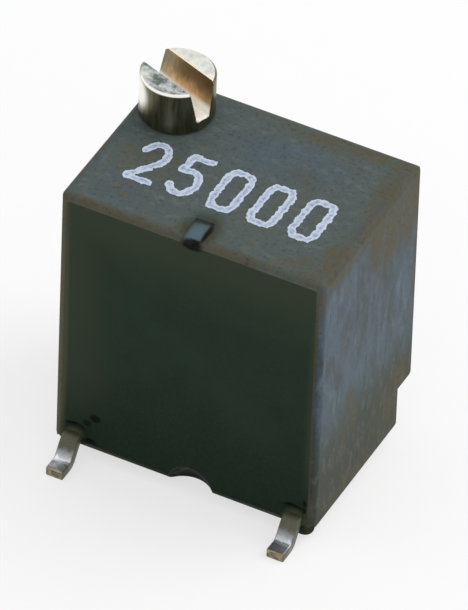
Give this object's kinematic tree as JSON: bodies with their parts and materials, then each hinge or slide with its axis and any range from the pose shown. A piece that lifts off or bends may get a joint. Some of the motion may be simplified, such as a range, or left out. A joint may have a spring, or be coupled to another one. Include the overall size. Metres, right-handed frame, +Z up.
{
  "type": "trimmer potentiometer",
  "caption": "Small sealed square trimmer potentiometer on gull-wing leads, set from its top by a slotted screw that turns a worm and wheel.",
  "frame": {"origin": "on the board surface, under the middle of the case", "axes": "+Z up, away from the board, along the adjusting screw; -Y is the face with two leads; +X is to the right of that face"},
  "size_m": [0.0066, 0.0068, 0.0089],
  "materials": {
    "case_plastic": "satin moulded thermoset",
    "sealing_resin": "smooth cured epoxy",
    "alumina": "fine fired ceramic",
    "resistive_ink": "printed and fired",
    "conductor_ink": "printed and fired silver",
    "tinned_lead": "tin plated",
    "solder": "bright",
    "seal_rubber": "smooth",
    "clip_steel": "stamped",
    "screw_brass": "turned and nickel flashed",
    "rotor_plastic": "moulded",
    "contact_alloy": "stamped spring alloy"
  },
  "bodies": {
    "case": {"housing": "case_plastic", "front_potting": "sealing_resin", "element_substrate": "alumina", "resistive_track": "resistive_ink", "end_pad_1": "conductor_ink", "end_pad_3": "conductor_ink", "collector_track": "conductor_ink", "terminal_1": "tinned_lead", "terminal_2": "tinned_lead", "terminal_3": "tinned_lead", "solder_joint_1": "solder", "solder_joint_2": "solder", "solder_joint_3": "solder", "screw_seal": "seal_rubber", "screw_retainer": "clip_steel"},
    "screw": {"adjustment_screw": "screw_brass"},
    "rotor": {"rotor_gear": "rotor_plastic", "wiper_spring": "contact_alloy"}
  },
  "joints": [
    {"name": "screw_turn", "type": "hinge", "parent": "case", "child": "screw", "pos_m": [-0.00237, 0.00135, 0.00888], "axis": [0, 0, 1], "range_deg": [-2070, 2250]},
    {"name": "rotor_turn", "type": "hinge", "parent": "case", "child": "rotor", "pos_m": [0, 0.00135, 0.00413], "axis": [0, -1, 0], "range_deg": [-138, 150]}
  ],
  "couplings": [
    {"joint": "rotor_turn", "follows": "screw_turn", "ratio": 0.066667}
  ]
}
